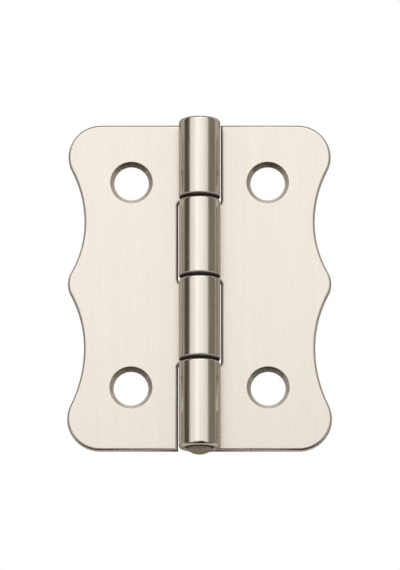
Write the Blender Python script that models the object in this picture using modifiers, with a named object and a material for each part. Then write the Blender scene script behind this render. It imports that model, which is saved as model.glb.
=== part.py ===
"""A small box hinge: two wavy-edged leaves whose tabs are rolled round one pin.

The hinge stands upright and open flat. Z runs along the pin, X across the leaves, and the front,
where the knuckles stand proud, faces -Y. Both leaves share one back plane at +Y.
"""

import math

import bmesh
import bpy

MM = 0.001

# Sheet and barrel, whose ends stand a little past the leaves
SHEET = 1.0 * MM
BARREL_RADIUS = 3.1 * MM
BARREL_PROUD = 0.1 * MM
EDGE_ROUND = 0.45 * MM
RUNNING_GAP = 0.16 * MM
SEAM_GAP = 0.15 * MM

# Knuckles from the top, each to the middle of its gap; the fourth takes what is left
FIRST_KNUCKLE = 12.3 * MM
SECOND_KNUCKLE = 12.25 * MM
THIRD_KNUCKLE = 12.75 * MM

# Leaf outline: its reach from the pin's axis, and the wave cut into its outer edge
LEAF_HEIGHT = 50.4 * MM
LEAF_REACH = 19.75 * MM
WAVE_DEPTH = 2.45 * MM
CORNER_RADIUS = 4.95 * MM
MIDDLE_LOBE_RADIUS = 3.8 * MM
MIDDLE_LOBE_HEIGHT = 0.5 * MM
UPPER_WAIST_RISE = 9.5 * MM
LOWER_WAIST_DROP = 9.95 * MM

# Notch that clears the other leaf's knuckle
NOTCH_CLEARANCE = 0.1 * MM
NOTCH_FILLET = 0.5 * MM
SHOULDER = 1.6 * MM

# Countersunk screw holes
HOLE_RADIUS = 2.6 * MM
SINK_RADIUS = 3.2 * MM
SINK_DEPTH = 0.65 * MM
HOLE_REACH = 10.25 * MM
UPPER_HOLE_INSET = 9.0 * MM
LOWER_HOLE_INSET = 9.7 * MM
CUT_OVERSHOOT = 0.5 * MM

# Pin
PIN_CLEARANCE = 0.12 * MM
FOOT_DOME = 0.9 * MM
HEAD_DOME = 0.4 * MM

# Fineness of the facets
OUTLINE_STEP = math.radians(9)
ROLL_STEPS = 26
EDGE_ROUND_RESOLUTION = 1
PIN_SIDES = 40
DOME_STEPS = 6
HOLE_SIDES = 32

# Sizes that follow from the ones above
BORE_RADIUS = BARREL_RADIUS - SHEET
PIN_RADIUS = BORE_RADIUS - PIN_CLEARANCE
SHEET_MIDDLE = BARREL_RADIUS - SHEET / 2
NOTCH_REACH = BARREL_RADIUS + NOTCH_CLEARANCE
LEAF_TOP = LEAF_HEIGHT / 2
BARREL_TOP = LEAF_TOP + BARREL_PROUD
UPPER_JOINT = BARREL_TOP - FIRST_KNUCKLE
MIDDLE_JOINT = UPPER_JOINT - SECOND_KNUCKLE
LOWER_JOINT = MIDDLE_JOINT - THIRD_KNUCKLE
WAIST_REACH = LEAF_REACH - WAVE_DEPTH
# The rolled tip stops where its outer corner would otherwise meet the leaf's front face.
ROLL_ANGLE = 3 * math.pi / 2 + math.asin((BORE_RADIUS - SEAM_GAP) / BARREL_RADIUS)
ROLL_LENGTH = ROLL_ANGLE * SHEET_MIDDLE
# The origin is the middle of the whole hinge, and the pin reaches further out at its foot.
BARREL_MIDDLE = (FOOT_DOME - HEAD_DOME) / 2

LEFT = -1
RIGHT = 1


def clear_scene():
    for obj in list(bpy.data.objects):
        bpy.data.objects.remove(obj, do_unlink=True)


def new_collection(name):
    collection = bpy.data.collections.new(name)
    bpy.context.scene.collection.children.link(collection)
    return collection


def metal(name, color, roughness):
    material = bpy.data.materials.new(name)
    material.use_nodes = True
    shader = material.node_tree.nodes["Principled BSDF"]
    shader.inputs["Base Color"].default_value = (*color, 1)
    shader.inputs["Metallic"].default_value = 1
    shader.inputs["Roughness"].default_value = roughness
    return material


def arc(centre, radius, start, end):
    """Points of an arc from one angle to another, both ends included."""
    steps = max(1, math.ceil(abs(end - start) / OUTLINE_STEP))
    angles = [start + (end - start) * i / steps for i in range(steps + 1)]
    return [
        (centre[0] + radius * math.cos(a), centre[1] + radius * math.sin(a))
        for a in angles
    ]


def waist_arc(lobe_radius, lobe_height, waist_height):
    """Radius and turn of the hollow arc that touches a lobe and stands upright at the waist."""
    rise = abs(lobe_height - waist_height)
    reach = (WAVE_DEPTH**2 + rise**2) / (2 * WAVE_DEPTH)
    return reach - lobe_radius, math.atan2(rise, reach - WAVE_DEPTH)


def wavy_edge():
    """The leaf's outer edge from the top corner to the bottom one, as (reach, height)."""
    corner_height = LEAF_TOP - CORNER_RADIUS
    lobes = (
        (CORNER_RADIUS, corner_height),
        (MIDDLE_LOBE_RADIUS, MIDDLE_LOBE_HEIGHT),
        (CORNER_RADIUS, -corner_height),
    )
    waist_heights = (
        MIDDLE_LOBE_HEIGHT + UPPER_WAIST_RISE,
        MIDDLE_LOBE_HEIGHT - LOWER_WAIST_DROP,
    )
    points = []
    turn_in = math.pi / 2
    for above, below, height in zip(lobes, lobes[1:], waist_heights):
        upper_radius, upper_turn = waist_arc(*above, height)
        lower_radius, lower_turn = waist_arc(*below, height)
        lobe_radius, lobe_height = above
        lobe_centre = (LEAF_REACH - lobe_radius, lobe_height)
        points += arc(lobe_centre, lobe_radius, turn_in, -upper_turn)
        upper_centre = (WAIST_REACH + upper_radius, height)
        points += arc(upper_centre, upper_radius, math.pi - upper_turn, math.pi)[1:]
        lower_centre = (WAIST_REACH + lower_radius, height)
        points += arc(lower_centre, lower_radius, math.pi, math.pi + lower_turn)[1:-1]
        turn_in = lower_turn
    corner = (LEAF_REACH - CORNER_RADIUS, -corner_height)
    return points + arc(corner, CORNER_RADIUS, turn_in, -math.pi / 2)


def tabbed_edge(tabs):
    """The leaf's inner edge, from the bottom to the top, with its flat tabs before rolling."""
    fillet = NOTCH_FILLET
    root = NOTCH_REACH - fillet
    points = []
    for low, high in tabs:
        if low <= -BARREL_TOP:
            points += [(SHOULDER + BARREL_PROUD, -LEAF_TOP), (SHOULDER, low)]
        else:
            if not points:
                points.append((NOTCH_REACH, -LEAF_TOP))
            points += arc((root, low - fillet), fillet, 0, math.pi / 2)
        points += [(-ROLL_LENGTH, low), (-ROLL_LENGTH, high)]
        if high >= BARREL_TOP:
            points += [(SHOULDER, high), (SHOULDER + BARREL_PROUD, LEAF_TOP)]
        else:
            points += arc((root, high + fillet), fillet, -math.pi / 2, 0)
    if tabs[-1][1] < BARREL_TOP:
        points.append((NOTCH_REACH, LEAF_TOP))
    return points


def flat_blank(name, side, tabs):
    """The flat stamped blank: the outline as a 2D curve with rounded edges, made a mesh."""
    curve = bpy.data.curves.new(name + "_outline", "CURVE")
    curve.dimensions = "2D"
    curve.fill_mode = "BOTH"
    curve.extrude = SHEET / 2 - EDGE_ROUND
    curve.bevel_depth = EDGE_ROUND
    curve.bevel_resolution = EDGE_ROUND_RESOLUTION
    curve.offset = -EDGE_ROUND
    outline = wavy_edge() + tabbed_edge(tabs)
    spline = curve.splines.new("POLY")
    spline.points.add(len(outline) - 1)
    for point, (reach, height) in zip(spline.points, outline):
        point.co = (side * reach, height, 0, 1)
    spline.use_cyclic_u = True
    guide = bpy.data.objects.new(name + "_outline", curve)
    guide.location.y = SHEET_MIDDLE
    guide.rotation_euler.x = math.pi / 2
    bpy.context.scene.collection.objects.link(guide)
    bpy.context.view_layer.update()
    evaluated = guide.evaluated_get(bpy.context.evaluated_depsgraph_get())
    mesh = bpy.data.meshes.new_from_object(evaluated)
    mesh.transform(guide.matrix_world)
    bpy.data.objects.remove(guide)
    mesh.name = name
    return mesh


def roll_tabs(mesh, side):
    """Cuts the tabs across at even steps, then rolls them round the pin's axis."""
    shape = bmesh.new()
    shape.from_mesh(mesh)
    bmesh.ops.remove_doubles(shape, verts=shape.verts, dist=1e-6)
    for i in range(ROLL_STEPS):
        bmesh.ops.bisect_plane(
            shape,
            geom=shape.verts[:] + shape.edges[:] + shape.faces[:],
            dist=1e-7,
            plane_co=(-side * ROLL_LENGTH * i / ROLL_STEPS, 0, 0),
            plane_no=(1, 0, 0),
        )
    for vertex in shape.verts:
        along = -side * vertex.co.x
        if along > 0:
            angle = along / SHEET_MIDDLE
            radius = vertex.co.y
            vertex.co.x = -side * radius * math.sin(angle)
            vertex.co.y = radius * math.cos(angle)
    bmesh.ops.recalc_face_normals(shape, faces=shape.faces)
    shape.to_mesh(mesh)
    shape.free()


def turned(name, profile, sides, collection):
    """A turned solid from a profile that runs down its outer side."""
    mesh = bpy.data.meshes.new(name)
    points = [(radius, 0, height) for radius, height in profile]
    mesh.from_pydata(points, [(i, i + 1) for i in range(len(points) - 1)], [])
    piece = bpy.data.objects.new(name, mesh)
    collection.objects.link(piece)
    screw = piece.modifiers.new("Turn", "SCREW")
    screw.steps = sides
    screw.render_steps = sides
    screw.use_merge_vertices = True
    screw.merge_threshold = 1e-6
    return piece


def countersink(name, reach, height, collection):
    """The cutter of one screw hole: a cone from the front face, then the hole's own wall."""
    slope = (SINK_RADIUS - HOLE_RADIUS) / SINK_DEPTH
    mouth = SINK_RADIUS + slope * CUT_OVERSHOOT
    bottom = -SHEET - CUT_OVERSHOOT
    profile = (
        (0, CUT_OVERSHOOT),
        (mouth, CUT_OVERSHOOT),
        (HOLE_RADIUS, -SINK_DEPTH),
        (HOLE_RADIUS, bottom),
        (0, bottom),
    )
    cutter = turned(name, profile, HOLE_SIDES, collection)
    cutter.location = (reach, BORE_RADIUS, height)
    cutter.rotation_euler.x = math.pi / 2
    cutter.hide_render = True
    cutter.display_type = "WIRE"
    return cutter


def leaf(name, side, tabs, material, collections, hinge):
    mesh = flat_blank(name, side, tabs)
    roll_tabs(mesh, side)
    mesh.shade_smooth()
    mesh.set_sharp_from_angle(angle=math.radians(40))
    mesh.materials.clear()
    mesh.materials.append(material)
    piece = bpy.data.objects.new(name, mesh)
    piece.parent = hinge
    parts, cutters = collections
    parts.objects.link(piece)
    heights = {
        "upper": LEAF_TOP - UPPER_HOLE_INSET,
        "lower": LOWER_HOLE_INSET - LEAF_TOP,
    }
    for label, height in heights.items():
        cutter = countersink(f"{name}_{label}_hole", side * HOLE_REACH, height, cutters)
        cutter.parent = hinge
        cut = piece.modifiers.new(f"{label} hole", "BOOLEAN")
        cut.operation = "DIFFERENCE"
        cut.object = cutter
    return piece


def dome(height):
    """A round cap on the pin, as (radius, rise) from its rim to its middle."""
    ball = (PIN_RADIUS**2 + height**2) / (2 * height)
    edge = math.asin(PIN_RADIUS / ball)
    angles = [edge * (1 - i / DOME_STEPS) for i in range(DOME_STEPS)]
    rises = [height - ball * (1 - math.cos(a)) for a in angles]
    return [(ball * math.sin(a), rise) for a, rise in zip(angles, rises)] + [(0, height)]


def pin(material, collection, hinge):
    """The straight pin, with a low dome on its hidden head and a fuller one on its foot."""
    head = [(radius, BARREL_TOP + rise) for radius, rise in reversed(dome(HEAD_DOME))]
    foot = [(radius, -BARREL_TOP - rise) for radius, rise in dome(FOOT_DOME)]
    piece = turned("hinge_pin", head + foot, PIN_SIDES, collection)
    piece.data.materials.append(material)
    piece.parent = hinge
    return piece


def main():
    clear_scene()
    parts = new_collection("box_hinge")
    cutters = new_collection("cutters")
    hinge = bpy.data.objects.new("hinge_axis", None)
    hinge.location.z = BARREL_MIDDLE
    parts.objects.link(hinge)

    brushed = metal("brushed_nickel", (0.80, 0.77, 0.73), 0.32)
    bright = metal("pin_steel", (0.62, 0.60, 0.56), 0.35)

    gap = RUNNING_GAP / 2
    left_tabs = (
        (LOWER_JOINT + gap, MIDDLE_JOINT - gap),
        (UPPER_JOINT + gap, BARREL_TOP),
    )
    right_tabs = (
        (-BARREL_TOP, LOWER_JOINT - gap),
        (MIDDLE_JOINT + gap, UPPER_JOINT - gap),
    )
    leaf("left_leaf", LEFT, left_tabs, brushed, (parts, cutters), hinge)
    leaf("right_leaf", RIGHT, right_tabs, brushed, (parts, cutters), hinge)
    pin(bright, parts, hinge)


main()
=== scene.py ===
"""A small box hinge, open flat: fine stamped and rolled leaves in brushed nickel round a domed pin.

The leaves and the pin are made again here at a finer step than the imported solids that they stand
for, from the same sizes. Z runs along the pin, X across the leaves, and the front faces -Y.
"""

import math

import bmesh
import bpy
from mathutils import Matrix, Vector


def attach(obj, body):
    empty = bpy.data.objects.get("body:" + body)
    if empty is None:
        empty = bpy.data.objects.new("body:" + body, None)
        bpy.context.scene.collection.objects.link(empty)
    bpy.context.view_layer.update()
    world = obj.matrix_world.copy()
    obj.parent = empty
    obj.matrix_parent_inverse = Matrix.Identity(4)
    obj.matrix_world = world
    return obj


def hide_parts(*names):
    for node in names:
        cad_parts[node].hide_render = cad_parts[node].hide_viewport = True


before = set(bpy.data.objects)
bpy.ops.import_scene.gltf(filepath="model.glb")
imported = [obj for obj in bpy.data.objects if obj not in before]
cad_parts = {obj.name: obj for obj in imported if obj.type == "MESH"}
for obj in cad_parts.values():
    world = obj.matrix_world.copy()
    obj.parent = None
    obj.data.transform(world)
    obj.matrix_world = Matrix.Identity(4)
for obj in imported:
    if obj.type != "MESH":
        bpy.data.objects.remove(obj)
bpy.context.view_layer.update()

MM = 0.001

# Sheet and barrel, whose ends stand a little past the leaves
SHEET = 1.0 * MM
BARREL_RADIUS = 3.1 * MM
BARREL_PROUD = 0.1 * MM
EDGE_ROUND = 0.45 * MM
RUNNING_GAP = 0.16 * MM
SEAM_GAP = 0.15 * MM

# Knuckles from the top, each to the middle of its gap; the fourth takes what is left
FIRST_KNUCKLE = 12.3 * MM
SECOND_KNUCKLE = 12.25 * MM
THIRD_KNUCKLE = 12.75 * MM

# Leaf outline: its reach from the pin's axis, and the wave cut into its outer edge
LEAF_HEIGHT = 50.4 * MM
LEAF_REACH = 19.75 * MM
WAVE_DEPTH = 2.45 * MM
CORNER_RADIUS = 4.95 * MM
MIDDLE_LOBE_RADIUS = 3.8 * MM
MIDDLE_LOBE_HEIGHT = 0.5 * MM
UPPER_WAIST_RISE = 9.5 * MM
LOWER_WAIST_DROP = 9.95 * MM

# Notch that clears the other leaf's knuckle
NOTCH_CLEARANCE = 0.1 * MM
NOTCH_FILLET = 0.5 * MM
SHOULDER = 1.6 * MM

# Countersunk screw holes, with a rim that the plating has softened
HOLE_RADIUS = 2.6 * MM
SINK_RADIUS = 3.2 * MM
SINK_DEPTH = 0.65 * MM
RIM_SOFTNESS = 0.15 * MM
HOLE_REACH = 10.25 * MM
UPPER_HOLE_INSET = 9.0 * MM
LOWER_HOLE_INSET = 9.7 * MM
CUT_OVERSHOOT = 0.5 * MM

# Pin
PIN_CLEARANCE = 0.12 * MM
FOOT_DOME = 0.9 * MM
HEAD_DOME = 0.4 * MM

# Fineness of the visible meshes
OUTLINE_STEP = math.radians(3)
ROLL_STEPS = 104
EDGE_ROUND_RESOLUTION = 5
PIN_SIDES = 128
DOME_STEPS = 20
HOLE_SIDES = 128
RIM_STEPS = 4
SHARP_ANGLE = math.radians(28)

# How near two corners, a cut and a corner, or a corner and a flat face count as one
MERGE_DISTANCE = 0.001 * MM
CUT_TOLERANCE = 0.0001 * MM
FLAT_TOLERANCE = 0.001 * MM

# Of a normal on a flat face, the least part that points straight out before it is set right
LEAST_OUTWARD = 0.8

# Painted shade, where shade falls: how far it reaches from a joint onto the knuckles under and over
# it, how many times over it fills the joint, and how deep it sits in a notch and at the foot of the
# bore
JOINT_SHADE_TOP = 0.26 * MM
JOINT_SHADE_BOTTOM = 0.45 * MM
JOINT_SHADE_FILL = 2.0
NOTCH_SHADE = 0.12 * MM
BORE_SHADE = 0.3 * MM

# Sizes that follow from the ones above
BORE_RADIUS = BARREL_RADIUS - SHEET
PIN_RADIUS = BORE_RADIUS - PIN_CLEARANCE
SHEET_MIDDLE = BARREL_RADIUS - SHEET / 2
NOTCH_REACH = BARREL_RADIUS + NOTCH_CLEARANCE
LEAF_TOP = LEAF_HEIGHT / 2
BARREL_TOP = LEAF_TOP + BARREL_PROUD
UPPER_JOINT = BARREL_TOP - FIRST_KNUCKLE
MIDDLE_JOINT = UPPER_JOINT - SECOND_KNUCKLE
LOWER_JOINT = MIDDLE_JOINT - THIRD_KNUCKLE
WAIST_REACH = LEAF_REACH - WAVE_DEPTH
ROLL_ANGLE = 3 * math.pi / 2 + math.asin((BORE_RADIUS - SEAM_GAP) / BARREL_RADIUS)
ROLL_LENGTH = ROLL_ANGLE * SHEET_MIDDLE
BARREL_MIDDLE = (FOOT_DOME - HEAD_DOME) / 2

LEFT = -1
RIGHT = 1

# Camera: a long lens square to the barrel and a little below it, with lens and sensor in mm
CAMERA_DISTANCE = 0.947
CAMERA_RISE = math.radians(-14.3)
CAMERA_SIDESTEP = 0.06 * MM
CAMERA_LENS = 400
SENSOR = 36

# Studio, in metres. A flag stands before a wing, and a wing before a wall.
FLOOR_DROP = 0.75
FLOOR_SIZE = 40.0
FLAG_DISTANCE = 0.60
WING_DISTANCE = 0.64
WALL_DISTANCE = 0.68

# Degrees between a card's corners, and how far the tall and the broad cards reach
CARD_STEP = 3
TALL = (-25, 70)
BROAD = (-70, 70)

# Fine scratches, and the slow drift of tone under them at a coarser scale
STREAK_DETAIL = 3.0
TONE_DETAIL = 2.0
TONE_SCALE = 0.12
GRAIN_ROUGHNESS = 0.6
GRAIN_RANGE = (0.3, 0.7)

# Gloss of both metals at a glancing angle, and the dull gloss under the painted shade
GLANCING_LEVEL = 0.2
SHADE_ROUGHNESS = 0.7

# The scratches run up the piece, so its gloss spreads across them; not quite upright, so that
# a face that points straight up has a direction too
NEARLY_UP = (0.001, 0.002, 1)

# Finishes. Lines are scratches per metre, and stretch is how much longer than wide they are.
# A pair of roughnesses is what the scratches vary between.
NICKEL = {
    "dark": (0.84, 0.78, 0.70),
    "light": (0.92, 0.865, 0.79),
    # Colour of the painted shade in the joints, the notches and the bore, where shade falls
    "painted_shade": (0.05, 0.04, 0.03),
    "edge_tint": (0.34, 0.28, 0.22),
    "spread": 0.8,
    "roughness": (0.24, 0.3),
    "rolled_roughness": (0.13, 0.18),
    "lines": 6000,
    "stretch": 45,
    "streak_share": 0.8,
    "bump": 0.08,
    "scratch_depth": 0.003 * MM,
}

PIN_STEEL = {
    "dark": (0.31, 0.28, 0.235),
    "light": (0.41, 0.375, 0.32),
    # Colour of the painted shade round the pin's rim, where shade falls in the bore
    "painted_shade": (0.05, 0.04, 0.03),
    "edge_tint": (0.7, 0.65, 0.6),
    "spread": 0.0,
    "roughness": (0.2, 0.32),
    "rolled_roughness": (0.2, 0.32),
    "lines": 3000,
    "stretch": 2,
    "streak_share": 0.6,
    "bump": 0.2,
    "scratch_depth": 0.004 * MM,
}


def link(obj):
    bpy.context.scene.collection.objects.link(obj)
    return obj


def add_camera():
    data = bpy.data.cameras.new("camera")
    data.lens = CAMERA_LENS
    data.sensor_width = SENSOR
    camera = link(bpy.data.objects.new("camera", data))
    camera.location = (
        CAMERA_SIDESTEP,
        -CAMERA_DISTANCE * math.cos(CAMERA_RISE),
        CAMERA_DISTANCE * math.sin(CAMERA_RISE),
    )
    camera.rotation_euler.x = math.pi / 2 - CAMERA_RISE
    bpy.context.scene.camera = camera


def white_surround():
    """A plain white surround at strength 1, which the background and the metal both show."""
    world = bpy.data.worlds.new("white_surround")
    world.use_nodes = True
    backdrop = world.node_tree.nodes["Background"]
    backdrop.inputs["Color"].default_value = (1, 1, 1, 1)
    backdrop.inputs["Strength"].default_value = 1
    bpy.context.scene.world = world


def pale_floor():
    mesh = bpy.data.meshes.new("floor")
    shape = bmesh.new()
    bmesh.ops.create_grid(shape, x_segments=1, y_segments=1, size=FLOOR_SIZE / 2)
    shape.to_mesh(mesh)
    shape.free()
    floor = link(bpy.data.objects.new("floor", mesh))
    floor.location.z = -FLOOR_DROP
    material = bpy.data.materials.new("pale_floor")
    material.use_nodes = True
    shader = material.node_tree.nodes["Principled BSDF"]
    shader.inputs["Base Color"].default_value = (0.93, 0.93, 0.93, 1)
    shader.inputs["Roughness"].default_value = 0.9
    shader.inputs["Specular IOR Level"].default_value = 0.1
    mesh.materials.append(material)


def add_sockets(tree, sockets):
    for name, in_out, kind, default in sockets:
        socket = tree.interface.new_socket(name=name, in_out=in_out, socket_type=kind)
        if default is not None:
            socket.default_value = default


def feed(tree, socket, value):
    """Gives an input its value, which is another node's output or a plain one."""
    if isinstance(value, bpy.types.NodeSocket):
        tree.links.new(value, socket)
    else:
        socket.default_value = value


def math_node(tree, operation, *values):
    node = tree.nodes.new("ShaderNodeMath")
    node.operation = operation
    for socket, value in zip(node.inputs, values):
        feed(tree, socket, value)
    return node.outputs[0]


def mix_node(tree, kind, factor, first, second):
    node = tree.nodes.new("ShaderNodeMix")
    node.data_type = kind
    for name, value in (("Factor", factor), ("A", first), ("B", second)):
        feed(tree, node.inputs[name], value)
    return node.outputs["Result"]


def map_range(tree, value, span, results):
    """Turns one span of values into another, and holds it at both ends."""
    node = tree.nodes.new("ShaderNodeMapRange")
    limits = zip(("From Min", "From Max", "To Min", "To Max"), (*span, *results))
    for name, limit in limits:
        node.inputs[name].default_value = limit
    tree.links.new(value, node.inputs["Value"])
    return node.outputs["Result"]


def feathered_edge_group():
    """How much of a studio card shows at a place on it, from 1 inside to 0 at its soft edges."""
    tree = bpy.data.node_groups.new("feathered_edge", "ShaderNodeTree")
    add_sockets(
        tree,
        (
            ("UV", "INPUT", "NodeSocketVector", None),
            ("Side Feather", "INPUT", "NodeSocketFloat", 0.1),
            ("End Feather", "INPUT", "NodeSocketFloat", 0.1),
            ("Cover", "OUTPUT", "NodeSocketFloat", None),
        ),
    )
    start = tree.nodes.new("NodeGroupInput")
    end = tree.nodes.new("NodeGroupOutput")
    split = tree.nodes.new("ShaderNodeSeparateXYZ")
    tree.links.new(start.outputs["UV"], split.inputs[0])
    covers = []
    for axis, feather in (("X", "Side Feather"), ("Y", "End Feather")):
        off_centre = math_node(tree, "SUBTRACT", split.outputs[axis], 0.5)
        inside = math_node(tree, "SUBTRACT", 0.5, math_node(tree, "ABSOLUTE", off_centre))
        fade = tree.nodes.new("ShaderNodeMapRange")
        fade.interpolation_type = "SMOOTHSTEP"
        tree.links.new(inside, fade.inputs["Value"])
        tree.links.new(start.outputs[feather], fade.inputs["From Max"])
        covers.append(fade.outputs["Result"])
    tree.links.new(math_node(tree, "MULTIPLY", *covers), end.inputs["Cover"])
    return tree


def card_material(name, color, feathers, group):
    material = bpy.data.materials.new(name)
    material.use_nodes = True
    tree = material.node_tree
    tree.nodes.clear()
    uv = tree.nodes.new("ShaderNodeTexCoord")
    cover = tree.nodes.new("ShaderNodeGroup")
    cover.node_tree = group
    cover.inputs["Side Feather"].default_value = feathers[0]
    cover.inputs["End Feather"].default_value = feathers[1]
    glow = tree.nodes.new("ShaderNodeEmission")
    glow.inputs["Color"].default_value = (*color, 1)
    clear = tree.nodes.new("ShaderNodeBsdfTransparent")
    mix = tree.nodes.new("ShaderNodeMixShader")
    output = tree.nodes.new("ShaderNodeOutputMaterial")
    tree.links.new(uv.outputs["UV"], cover.inputs["UV"])
    tree.links.new(cover.outputs["Cover"], mix.inputs["Fac"])
    tree.links.new(clear.outputs[0], mix.inputs[1])
    tree.links.new(glow.outputs[0], mix.inputs[2])
    tree.links.new(mix.outputs[0], output.inputs["Surface"])
    return material


def upright(turn, rise):
    """The direction at an azimuth from the front and a height above level, in degrees."""
    turn, rise = math.radians(turn), math.radians(rise)
    return (
        math.cos(rise) * math.sin(turn),
        -math.cos(rise) * math.cos(turn),
        math.sin(rise),
    )


def overhead(side, pitch):
    """The direction off to one side of an arc that runs from the front up and over the top."""
    side, pitch = math.radians(side), math.radians(pitch)
    return (
        math.sin(side),
        -math.cos(side) * math.cos(pitch),
        math.cos(side) * math.sin(pitch),
    )


def studio_card(name, bend, across, along, color, feathers, distance, group):
    """A curved card round the hinge, seen only by the metal. The angles are in degrees."""
    columns = math.ceil((across[1] - across[0]) / CARD_STEP)
    rows = math.ceil((along[1] - along[0]) / CARD_STEP)
    mesh = bpy.data.meshes.new(name)
    shape = bmesh.new()
    layer = shape.loops.layers.uv.new("card")
    corners = {}
    for i in range(columns + 1):
        for j in range(rows + 1):
            u, v = i / columns, j / rows
            point = bend(
                across[0] + (across[1] - across[0]) * u,
                along[0] + (along[1] - along[0]) * v,
            )
            corners[i, j] = shape.verts.new([distance * c for c in point])
    for i in range(columns):
        for j in range(rows):
            places = ((i, j), (i + 1, j), (i + 1, j + 1), (i, j + 1))
            face = shape.faces.new([corners[p] for p in places])
            for loop, (a, b) in zip(face.loops, places):
                loop[layer].uv = (a / columns, b / rows)
    shape.to_mesh(mesh)
    shape.free()
    card = link(bpy.data.objects.new(name, mesh))
    mesh.materials.append(card_material(name, color, feathers, group))
    card.visible_camera = False
    card.visible_diffuse = False
    card.visible_transmission = False
    card.visible_shadow = False


def studio():
    """White surround and floor, with the flags and the softbox that the bright metal mirrors."""
    white_surround()
    pale_floor()
    near, middle, far = FLAG_DISTANCE, WING_DISTANCE, WALL_DISTANCE
    # Name, bend, reach across and along, colour, feather of the sides and ends, distance
    cards = (
        ("left_flag", upright, (-95, -55), TALL, (0.055, 0.045, 0.032), (0.06, 0.1), near),
        ("right_flag", upright, (46.5, 98), TALL, (0.175, 0.165, 0.13), (0.05, 0.1), near),
        ("left_glow", upright, (-30, 4), TALL, (1.16, 1.14, 1.13), (0.48, 0.1), near),
        ("left_wing", upright, (-84, -14), TALL, (0.8, 0.8, 0.78), (0.48, 0.1), middle),
        ("right_wing", upright, (8, 78), TALL, (0.75, 0.75, 0.73), (0.48, 0.1), middle),
        ("left_wall", upright, (-178, -90), TALL, (0.42, 0.39, 0.34), (0.05, 0.1), middle),
        ("right_wall", upright, (92, 178), TALL, (0.44, 0.41, 0.36), (0.05, 0.1), middle),
        ("softbox", overhead, (-50, 50), (30, 62), (1.4, 1.4, 1.42), (0.1, 0.2), middle),
        ("top_flag", overhead, BROAD, (62, 98), (0.05, 0.05, 0.045), (0.05, 0.1), near),
        ("back_top", overhead, BROAD, (92, 130), (0.7, 0.7, 0.68), (0.05, 0.15), middle),
        ("low_flag", overhead, (-30, 30), (-46, 7), (0.012, 0.008, 0.004), (0.1, 0.08), near),
        ("low_card", overhead, BROAD, (-46, 4), (0.5, 0.48, 0.44), (0.05, 0.1), middle),
        ("floor_flag", overhead, BROAD, (-86, -36), (0.02, 0.014, 0.007), (0.05, 0.1), near),
        ("back_floor", overhead, BROAD, (-172, -80), (0.5, 0.47, 0.42), (0.05, 0.05), far),
        ("front_low", overhead, (-60, 60), (-45, 17), (0.75, 0.75, 0.74), (0.05, 0.24), far),
    )
    soft_edges = feathered_edge_group()
    for card in cards:
        studio_card(*card, soft_edges)


def arc(centre, radius, start, end):
    """Points of an arc from one angle to another, both ends included."""
    steps = max(1, math.ceil(abs(end - start) / OUTLINE_STEP))
    angles = [start + (end - start) * i / steps for i in range(steps + 1)]
    return [
        (centre[0] + radius * math.cos(a), centre[1] + radius * math.sin(a))
        for a in angles
    ]


def waist_arc(lobe_radius, lobe_height, waist_height):
    """Radius and turn of the hollow arc that touches a lobe and stands upright at the waist."""
    rise = abs(lobe_height - waist_height)
    reach = (WAVE_DEPTH**2 + rise**2) / (2 * WAVE_DEPTH)
    return reach - lobe_radius, math.atan2(rise, reach - WAVE_DEPTH)


def wavy_edge():
    """The leaf's outer edge from the top corner to the bottom one, as (reach, height)."""
    corner_height = LEAF_TOP - CORNER_RADIUS
    lobes = (
        (CORNER_RADIUS, corner_height),
        (MIDDLE_LOBE_RADIUS, MIDDLE_LOBE_HEIGHT),
        (CORNER_RADIUS, -corner_height),
    )
    waist_heights = (
        MIDDLE_LOBE_HEIGHT + UPPER_WAIST_RISE,
        MIDDLE_LOBE_HEIGHT - LOWER_WAIST_DROP,
    )
    points = []
    turn_in = math.pi / 2
    for above, below, height in zip(lobes, lobes[1:], waist_heights):
        upper_radius, upper_turn = waist_arc(*above, height)
        lower_radius, lower_turn = waist_arc(*below, height)
        lobe_radius, lobe_height = above
        lobe_centre = (LEAF_REACH - lobe_radius, lobe_height)
        points += arc(lobe_centre, lobe_radius, turn_in, -upper_turn)
        upper_centre = (WAIST_REACH + upper_radius, height)
        points += arc(upper_centre, upper_radius, math.pi - upper_turn, math.pi)[1:]
        lower_centre = (WAIST_REACH + lower_radius, height)
        points += arc(lower_centre, lower_radius, math.pi, math.pi + lower_turn)[1:-1]
        turn_in = lower_turn
    corner = (LEAF_REACH - CORNER_RADIUS, -corner_height)
    return points + arc(corner, CORNER_RADIUS, turn_in, -math.pi / 2)


def tabbed_edge(tabs):
    """The leaf's inner edge, from the bottom to the top, with its flat tabs before rolling."""
    fillet = NOTCH_FILLET
    root = NOTCH_REACH - fillet
    points = []
    for low, high in tabs:
        if low <= -BARREL_TOP:
            points += [(SHOULDER + BARREL_PROUD, -LEAF_TOP), (SHOULDER, low)]
        else:
            if not points:
                points.append((NOTCH_REACH, -LEAF_TOP))
            points += arc((root, low - fillet), fillet, 0, math.pi / 2)
        points += [(-ROLL_LENGTH, low), (-ROLL_LENGTH, high)]
        if high >= BARREL_TOP:
            points += [(SHOULDER, high), (SHOULDER + BARREL_PROUD, LEAF_TOP)]
        else:
            points += arc((root, high + fillet), fillet, -math.pi / 2, 0)
    if tabs[-1][1] < BARREL_TOP:
        points.append((NOTCH_REACH, LEAF_TOP))
    return points


def lies_on_leaf(face, side, depth):
    """True for a piece of one of the leaf's flat faces, away from the tabs that are rolled."""
    return all(
        abs(corner.co.y - depth) < FLAT_TOLERANCE and side * corner.co.x > -FLAT_TOLERANCE
        for corner in face.verts
    )


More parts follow.
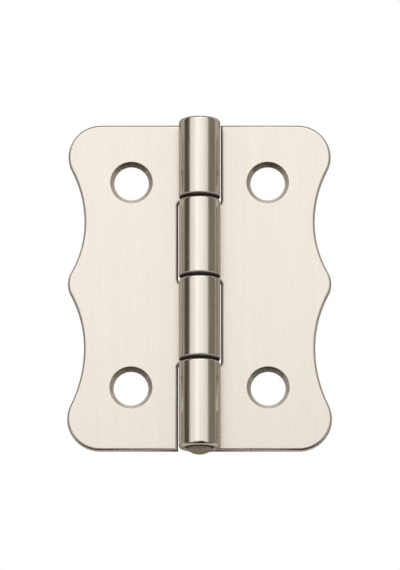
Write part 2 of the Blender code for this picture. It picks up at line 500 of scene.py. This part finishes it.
def flat_blank(name, side, tabs):
    """The flat stamped blank, cut across its tabs at even steps so that they can be rolled."""
    curve = bpy.data.curves.new(name + "_outline", "CURVE")
    curve.dimensions = "2D"
    curve.fill_mode = "BOTH"
    curve.extrude = SHEET / 2 - EDGE_ROUND
    curve.bevel_depth = EDGE_ROUND
    curve.bevel_resolution = EDGE_ROUND_RESOLUTION
    curve.offset = -EDGE_ROUND
    outline = wavy_edge() + tabbed_edge(tabs)
    spline = curve.splines.new("POLY")
    spline.points.add(len(outline) - 1)
    for point, (reach, height) in zip(spline.points, outline):
        point.co = (side * reach, height, 0, 1)
    spline.use_cyclic_u = True
    guide = link(bpy.data.objects.new(name + "_outline", curve))
    guide.location.y = SHEET_MIDDLE
    guide.rotation_euler.x = math.pi / 2
    bpy.context.view_layer.update()
    evaluated = guide.evaluated_get(bpy.context.evaluated_depsgraph_get())
    mesh = bpy.data.meshes.new_from_object(evaluated)
    mesh.transform(guide.matrix_world)
    bpy.data.objects.remove(guide)
    mesh.name = name
    shape = bmesh.new()
    shape.from_mesh(mesh)
    bmesh.ops.remove_doubles(shape, verts=shape.verts, dist=MERGE_DISTANCE)
    for i in range(ROLL_STEPS):
        bmesh.ops.bisect_plane(
            shape,
            geom=shape.verts[:] + shape.edges[:] + shape.faces[:],
            dist=CUT_TOLERANCE,
            plane_co=(-side * ROLL_LENGTH * i / ROLL_STEPS, 0, 0),
            plane_no=(1, 0, 0),
        )
    for depth in (BORE_RADIUS, BARREL_RADIUS):
        flat = [f for f in shape.faces if lies_on_leaf(f, side, depth)]
        bmesh.ops.dissolve_faces(shape, faces=flat)
    bmesh.ops.recalc_face_normals(shape, faces=shape.faces)
    shape.to_mesh(mesh)
    shape.free()
    return mesh


def roll_tree():
    """Rolls all that lies past the pin's axis round it, as the press does with the tabs."""
    tree = bpy.data.node_groups.new("roll_tabs", "GeometryNodeTree")
    add_sockets(
        tree,
        (
            ("Blank", "INPUT", "NodeSocketGeometry", None),
            ("Side", "INPUT", "NodeSocketFloat", 1.0),
            ("Sheet Middle", "INPUT", "NodeSocketFloat", 0.0026),
            ("Barrel Middle", "INPUT", "NodeSocketFloat", 0.0),
            ("Finish", "INPUT", "NodeSocketMaterial", None),
            ("Rolled", "OUTPUT", "NodeSocketGeometry", None),
        ),
    )
    start = tree.nodes.new("NodeGroupInput")
    end = tree.nodes.new("NodeGroupOutput")
    place = tree.nodes.new("GeometryNodeInputPosition")
    split = tree.nodes.new("ShaderNodeSeparateXYZ")
    tree.links.new(place.outputs[0], split.inputs[0])
    inward = math_node(tree, "MULTIPLY", start.outputs["Side"], -1)
    along = math_node(tree, "MULTIPLY", split.outputs["X"], inward)
    angle = math_node(tree, "DIVIDE", along, start.outputs["Sheet Middle"])
    swing = math_node(tree, "MULTIPLY", split.outputs["Y"], math_node(tree, "SINE", angle))
    rolled = tree.nodes.new("ShaderNodeCombineXYZ")
    tree.links.new(math_node(tree, "MULTIPLY", swing, inward), rolled.inputs["X"])
    depth = math_node(tree, "MULTIPLY", split.outputs["Y"], math_node(tree, "COSINE", angle))
    tree.links.new(depth, rolled.inputs["Y"])
    tree.links.new(split.outputs["Z"], rolled.inputs["Z"])
    roll = tree.nodes.new("GeometryNodeSetPosition")
    tree.links.new(start.outputs["Blank"], roll.inputs["Geometry"])
    past_axis = math_node(tree, "GREATER_THAN", along, 0)
    tree.links.new(past_axis, roll.inputs["Selection"])
    tree.links.new(rolled.outputs[0], roll.inputs["Position"])
    raised = tree.nodes.new("ShaderNodeCombineXYZ")
    tree.links.new(start.outputs["Barrel Middle"], raised.inputs["Z"])
    seat = tree.nodes.new("GeometryNodeSetPosition")
    tree.links.new(roll.outputs[0], seat.inputs["Geometry"])
    tree.links.new(raised.outputs[0], seat.inputs["Offset"])
    realize = tree.nodes.new("GeometryNodeRealizeInstances")
    tree.links.new(seat.outputs[0], realize.inputs[0])
    finish = tree.nodes.new("GeometryNodeSetMaterial")
    tree.links.new(realize.outputs[0], finish.inputs["Geometry"])
    tree.links.new(start.outputs["Finish"], finish.inputs["Material"])
    tree.links.new(finish.outputs[0], end.inputs["Rolled"])
    return tree


def set_inputs(modifier, values):
    """Sets a Geometry Nodes modifier's inputs through their sockets' identifiers."""
    for item in modifier.node_group.interface.items_tree:
        if item.item_type == "SOCKET" and item.in_out == "INPUT" and item.name in values:
            modifier[item.identifier] = values[item.name]


def evaluated_mesh(piece):
    """The piece's mesh with its modifiers applied."""
    bpy.context.view_layer.update()
    graph = bpy.context.evaluated_depsgraph_get()
    return bpy.data.meshes.new_from_object(piece.evaluated_get(graph))


def turned_mesh(name, profile, sides):
    """A turned solid from a profile that runs down its outer side."""
    mesh = bpy.data.meshes.new(name)
    points = [(radius, 0, height) for radius, height in profile]
    mesh.from_pydata(points, [(i, i + 1) for i in range(len(points) - 1)], [])
    piece = link(bpy.data.objects.new(name, mesh))
    screw = piece.modifiers.new("Turn", "SCREW")
    screw.steps = sides
    screw.render_steps = sides
    screw.use_merge_vertices = True
    screw.merge_threshold = MERGE_DISTANCE
    solid = evaluated_mesh(piece)
    bpy.data.objects.remove(piece)
    solid.name = name
    return solid


def countersink(name, reach, height):
    """The cutter of one screw hole: a soft rim, a cone, then the hole's own wall."""
    slope = math.atan2(SINK_RADIUS - HOLE_RADIUS, SINK_DEPTH)
    turn = math.pi / 2 - slope
    set_back = RIM_SOFTNESS * math.tan(turn / 2)
    rim_centre = (SINK_RADIUS + set_back, -RIM_SOFTNESS)
    rim = [
        (
            rim_centre[0] - RIM_SOFTNESS * math.sin(turn * i / RIM_STEPS),
            rim_centre[1] + RIM_SOFTNESS * math.cos(turn * i / RIM_STEPS),
        )
        for i in range(RIM_STEPS + 1)
    ]
    mouth = SINK_RADIUS + set_back + CUT_OVERSHOOT
    bottom = -SHEET - CUT_OVERSHOOT
    profile = [(0, CUT_OVERSHOOT), (mouth, CUT_OVERSHOOT), *rim]
    profile += [(HOLE_RADIUS, -SINK_DEPTH), (HOLE_RADIUS, bottom), (0, bottom)]
    mesh = turned_mesh(name, profile, HOLE_SIDES)
    to_front = Matrix.Rotation(math.pi / 2, 4, "X")
    mesh.transform(Matrix.Translation((reach, BORE_RADIUS, height)) @ to_front)
    cutter = link(bpy.data.objects.new(name, mesh))
    cutter.hide_render = True
    return cutter


def true_flats(mesh):
    """The leaf's two flat faces get exactly flat normals, up to where their rounded edges begin."""
    normals = [corner.vector.copy() for corner in mesh.corner_normals]
    for i, loop in enumerate(mesh.loops):
        depth = mesh.vertices[loop.vertex_index].co.y
        for face, outward in ((BORE_RADIUS, -1), (BARREL_RADIUS, 1)):
            facing_out = normals[i].y * outward > LEAST_OUTWARD
            if abs(depth - face) < FLAT_TOLERANCE and facing_out:
                normals[i] = Vector((0, outward, 0))
    mesh.normals_split_custom_set(normals)


def finish_piece(name, mesh, body, node, slot):
    """Smooth shading that keeps the flats flat, then the piece takes its node's place."""
    mesh.shade_smooth()
    mesh.set_sharp_from_angle(angle=SHARP_ANGLE)
    piece = link(bpy.data.objects.new(name, mesh))
    even = piece.modifiers.new("Even normals", "WEIGHTED_NORMAL")
    even.keep_sharp = True
    piece.data = evaluated_mesh(piece)
    piece.modifiers.clear()
    piece.data.name = name
    if slot == "brushed_nickel":
        true_flats(piece.data)
    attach(piece, body)
    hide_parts(node)


def within_one(value):
    return max(0, min(1, value))


def mark_rolled_and_shade(mesh, side):
    """Two masks on the leaf: which faces are rolled, and how much painted shade a corner gets for
    lying deep in a joint, a notch or the foot of the bore.
    """
    rolled = mesh.attributes.new("rolled", "FLOAT", "FACE")
    for face, roll in zip(mesh.polygons, rolled.data):
        reach, depth = side * face.center.x, face.center.y
        roll.value = float(reach < SHOULDER or depth < BORE_RADIUS - FLAT_TOLERANCE)
    shade_mask = mesh.attributes.new("shade_mask", "FLOAT", "POINT")
    joints = (UPPER_JOINT, MIDDLE_JOINT, LOWER_JOINT)
    for corner, painted_shade in zip(mesh.vertices, shade_mask.data):
        reach, depth, height = side * corner.co.x, corner.co.y, corner.co.z - BARREL_MIDDLE
        # A flat side is one large face, across which a corner with painted shade would smear
        off_flats = min(abs(depth - BORE_RADIUS), abs(depth - BARREL_RADIUS))
        if reach > -FLAT_TOLERANCE and off_flats < FLAT_TOLERANCE:
            continue
        # Painted shade in the joints between the knuckles and down the bore at the foot, where
        # shade falls between parts
        if reach < SHOULDER or depth < BORE_RADIUS - FLAT_TOLERANCE:
            offset = min((height - joint for joint in joints), key=abs)
            inside = JOINT_SHADE_TOP if offset < 0 else JOINT_SHADE_BOTTOM
            in_joint = JOINT_SHADE_FILL * (1 - (abs(offset) - RUNNING_GAP / 2) / inside)
            at_foot = height + BARREL_TOP < EDGE_ROUND
            in_bore = 1 + (BORE_RADIUS - math.hypot(reach, depth)) / BORE_SHADE
            painted_shade.value = within_one(max(in_joint, at_foot * in_bore))
        # Painted shade on the notch's edge beside the other leaf's knuckle, where the slot lies in
        # shade
        elif reach < NOTCH_REACH + EDGE_ROUND:
            sunk = min(depth - BORE_RADIUS, BARREL_RADIUS - depth)
            painted_shade.value = within_one(sunk / NOTCH_SHADE)


def leaf(name, side, tabs, material, tree, body, node):
    piece = link(bpy.data.objects.new(name + "_blank", flat_blank(name, side, tabs)))
    roll = piece.modifiers.new("Roll", "NODES")
    roll.node_group = tree
    set_inputs(
        roll,
        {
            "Side": float(side),
            "Sheet Middle": SHEET_MIDDLE,
            "Barrel Middle": BARREL_MIDDLE,
            "Finish": material,
        },
    )
    cutters = []
    heights = (LEAF_TOP - UPPER_HOLE_INSET, LOWER_HOLE_INSET - LEAF_TOP)
    for i, height in enumerate(heights):
        cutter = countersink(f"{name}_cutter_{i}", side * HOLE_REACH, height + BARREL_MIDDLE)
        cut = piece.modifiers.new(f"Hole {i}", "BOOLEAN")
        cut.operation = "DIFFERENCE"
        cut.object = cutter
        cutters.append(cutter)
    mesh = evaluated_mesh(piece)
    bpy.data.objects.remove(piece)
    for cutter in cutters:
        bpy.data.objects.remove(cutter)
    mesh.materials.clear()
    mesh.materials.append(material)
    mark_rolled_and_shade(mesh, side)
    finish_piece(name, mesh, body, node, "brushed_nickel")


def dome(height):
    """A round cap on the pin, as (radius, rise) from its rim to its middle."""
    ball = (PIN_RADIUS**2 + height**2) / (2 * height)
    edge = math.asin(PIN_RADIUS / ball)
    angles = [edge * (1 - i / DOME_STEPS) for i in range(DOME_STEPS)]
    rises = [height - ball * (1 - math.cos(a)) for a in angles]
    return [(ball * math.sin(a), rise) for a, rise in zip(angles, rises)] + [(0, height)]


def pin(material):
    """The straight pin, with a low dome on its hidden head and a fuller one on its foot."""
    head = [(radius, BARREL_TOP + rise) for radius, rise in reversed(dome(HEAD_DOME))]
    foot = [(radius, -BARREL_TOP - rise) for radius, rise in dome(FOOT_DOME)]
    mesh = turned_mesh("turned_pin", head + foot, PIN_SIDES)
    mesh.transform(Matrix.Translation((0, 0, BARREL_MIDDLE)))
    mesh.materials.append(material)
    # Painted shade on the pin's outer rim, where it sits in the shadowed gap of the bore
    shade_mask = mesh.attributes.new("shade_mask", "FLOAT", "POINT")
    for corner, painted_shade in zip(mesh.vertices, shade_mask.data):
        inward = PIN_RADIUS - math.hypot(corner.co.x, corner.co.y)
        painted_shade.value = within_one(1 - inward / BORE_SHADE)
    finish_piece("turned_pin", mesh, "fixed_leaf", "hinge_pin", "pin_steel")


def brushed_grain_group():
    """Fine straight scratches along Z, as two masks: crisp streaks, and slow shifts of tone."""
    tree = bpy.data.node_groups.new("brushed_grain", "ShaderNodeTree")
    add_sockets(
        tree,
        (
            ("Vector", "INPUT", "NodeSocketVector", None),
            ("Lines per Metre", "INPUT", "NodeSocketFloat", 6000.0),
            ("Stretch", "INPUT", "NodeSocketFloat", 40.0),
            ("Streaks", "OUTPUT", "NodeSocketFloat", None),
            ("Tone", "OUTPUT", "NodeSocketFloat", None),
        ),
    )
    start = tree.nodes.new("NodeGroupInput")
    end = tree.nodes.new("NodeGroupOutput")
    lines = start.outputs["Lines per Metre"]
    along = math_node(tree, "DIVIDE", lines, start.outputs["Stretch"])
    masks = (("Streaks", 1.0, STREAK_DETAIL), ("Tone", TONE_SCALE, TONE_DETAIL))
    for name, share, detail in masks:
        scale = tree.nodes.new("ShaderNodeCombineXYZ")
        across = math_node(tree, "MULTIPLY", lines, share)
        tree.links.new(across, scale.inputs["X"])
        tree.links.new(across, scale.inputs["Y"])
        tree.links.new(math_node(tree, "MULTIPLY", along, share), scale.inputs["Z"])
        stretch = tree.nodes.new("ShaderNodeVectorMath")
        stretch.operation = "MULTIPLY"
        tree.links.new(start.outputs["Vector"], stretch.inputs[0])
        tree.links.new(scale.outputs[0], stretch.inputs[1])
        noise = tree.nodes.new("ShaderNodeTexNoise")
        noise.inputs["Scale"].default_value = 1
        noise.inputs["Detail"].default_value = detail
        noise.inputs["Roughness"].default_value = GRAIN_ROUGHNESS
        tree.links.new(stretch.outputs[0], noise.inputs["Vector"])
        tree.links.new(noise.outputs["Fac"], end.inputs[name])
    return tree


def attribute(tree, name):
    """A mask stored on the piece, which is 0 all over a piece that has none."""
    node = tree.nodes.new("ShaderNodeAttribute")
    node.attribute_name = name
    return node.outputs["Fac"]


def plated_metal(name, looks, grain):
    """A plated metal: its colour drifts with the tone, the scratches change its gloss, and a mask
    paints shade on it, dark and dull.
    """
    material = bpy.data.materials.new(name)
    material.use_nodes = True
    tree = material.node_tree
    shader = tree.nodes["Principled BSDF"]
    shader.inputs["Specular IOR Level"].default_value = GLANCING_LEVEL
    shader.inputs["Specular Tint"].default_value = (*looks["edge_tint"], 1)
    shader.inputs["Anisotropic"].default_value = looks["spread"]
    place = tree.nodes.new("ShaderNodeTexCoord")
    brushed = tree.nodes.new("ShaderNodeGroup")
    brushed.node_tree = grain
    brushed.inputs["Lines per Metre"].default_value = looks["lines"]
    brushed.inputs["Stretch"].default_value = looks["stretch"]
    tree.links.new(place.outputs["Object"], brushed.inputs["Vector"])
    streaks, tone = brushed.outputs["Streaks"], brushed.outputs["Tone"]
    share = looks["streak_share"]
    streak_part = math_node(tree, "MULTIPLY", streaks, share)
    tone_part = math_node(tree, "MULTIPLY", tone, 1 - share)
    mixed = math_node(tree, "ADD", streak_part, tone_part)
    drift = map_range(tree, mixed, GRAIN_RANGE, (0, 1))
    # Painted shade: the mask darkens the colour, takes away the metal and dulls the gloss
    shade_mask = attribute(tree, "shade_mask")
    unshaded_color = mix_node(tree, "RGBA", drift, (*looks["dark"], 1), (*looks["light"], 1))
    color = mix_node(tree, "RGBA", shade_mask, unshaded_color, (*looks["painted_shade"], 1))
    tree.links.new(color, shader.inputs["Base Color"])
    metallic = math_node(tree, "SUBTRACT", 1, shade_mask)
    tree.links.new(metallic, shader.inputs["Metallic"])
    smooth = map_range(tree, streaks, GRAIN_RANGE, looks["rolled_roughness"])
    rough = map_range(tree, streaks, GRAIN_RANGE, looks["roughness"])
    gloss = mix_node(tree, "FLOAT", attribute(tree, "rolled"), rough, smooth)
    dull = mix_node(tree, "FLOAT", shade_mask, gloss, SHADE_ROUGHNESS)
    tree.links.new(dull, shader.inputs["Roughness"])
    bump = tree.nodes.new("ShaderNodeBump")
    bump.inputs["Strength"].default_value = looks["bump"]
    bump.inputs["Distance"].default_value = looks["scratch_depth"]
    tree.links.new(streaks, bump.inputs["Height"])
    tree.links.new(bump.outputs["Normal"], shader.inputs["Normal"])
    facing = tree.nodes.new("ShaderNodeNewGeometry")
    across = tree.nodes.new("ShaderNodeVectorMath")
    across.operation = "CROSS_PRODUCT"
    across.inputs[1].default_value = NEARLY_UP
    tree.links.new(facing.outputs["Normal"], across.inputs[0])
    tree.links.new(across.outputs[0], shader.inputs["Tangent"])
    return material


def hinge():
    grain = brushed_grain_group()
    nickel = plated_metal("brushed_nickel", NICKEL, grain)
    steel = plated_metal("pin_steel", PIN_STEEL, grain)
    gap = RUNNING_GAP / 2
    left_tabs = (
        (LOWER_JOINT + gap, MIDDLE_JOINT - gap),
        (UPPER_JOINT + gap, BARREL_TOP),
    )
    right_tabs = (
        (-BARREL_TOP, LOWER_JOINT - gap),
        (MIDDLE_JOINT + gap, UPPER_JOINT - gap),
    )
    rolled = roll_tree()
    leaf("left_sheet", LEFT, left_tabs, nickel, rolled, "fixed_leaf", "left_leaf")
    leaf("right_sheet", RIGHT, right_tabs, nickel, rolled, "swinging_leaf", "right_leaf")
    pin(steel)


bpy.context.scene.view_settings.view_transform = "Standard"
add_camera()
studio()
hinge()
